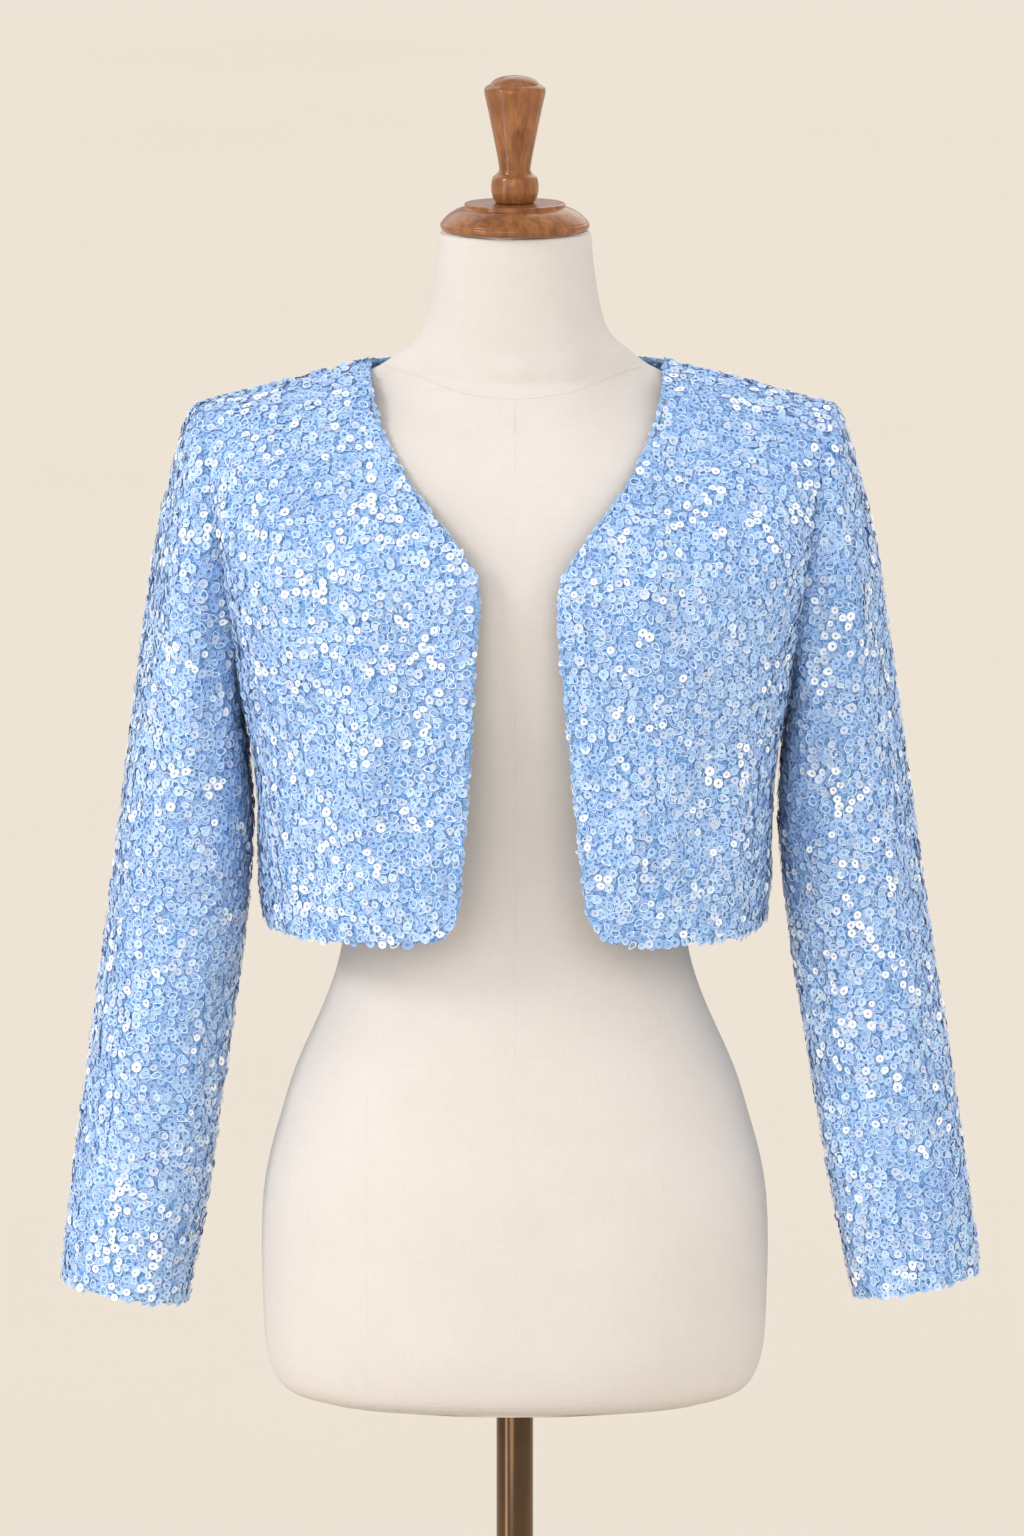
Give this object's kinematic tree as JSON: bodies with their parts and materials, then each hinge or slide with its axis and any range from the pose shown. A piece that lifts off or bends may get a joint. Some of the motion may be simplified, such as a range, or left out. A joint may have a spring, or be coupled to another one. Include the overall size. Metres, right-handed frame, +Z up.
{
  "type": "bolero jacket on a dress form",
  "caption": "Short open-front sequinned bolero jacket with long sleeves, worn by a limbless dress form with a turned wooden neck cap on a pole stand.",
  "frame": {"origin": "on the floor under the middle of the stand's base", "axes": "+Z up along the pole, -Y out of the jacket's open front, +X to the wearer's left"},
  "size_m": [0.6438, 0.34, 1.6161],
  "materials": {
    "sequin_cloth": "powder-blue cloth covered with small glossy sequins",
    "edge_cloth": "smooth matt powder-blue cloth",
    "linen": "matt plain-woven natural linen",
    "turned_wood": "satin varnished mid-brown wood",
    "bronze": "satin antique bronze"
  },
  "bodies": {
    "root": {"left_front": "sequin_cloth", "right_front": "sequin_cloth", "back": "sequin_cloth", "left_sleeve": "sequin_cloth", "right_sleeve": "sequin_cloth", "left_front_edge": "edge_cloth", "right_front_edge": "edge_cloth", "back_neck_edge": "edge_cloth", "torso": "linen", "neck_cap": "turned_wood", "neck_finial": "turned_wood", "pole": "bronze", "stand_base": "bronze"}
  },
  "joints": []
}
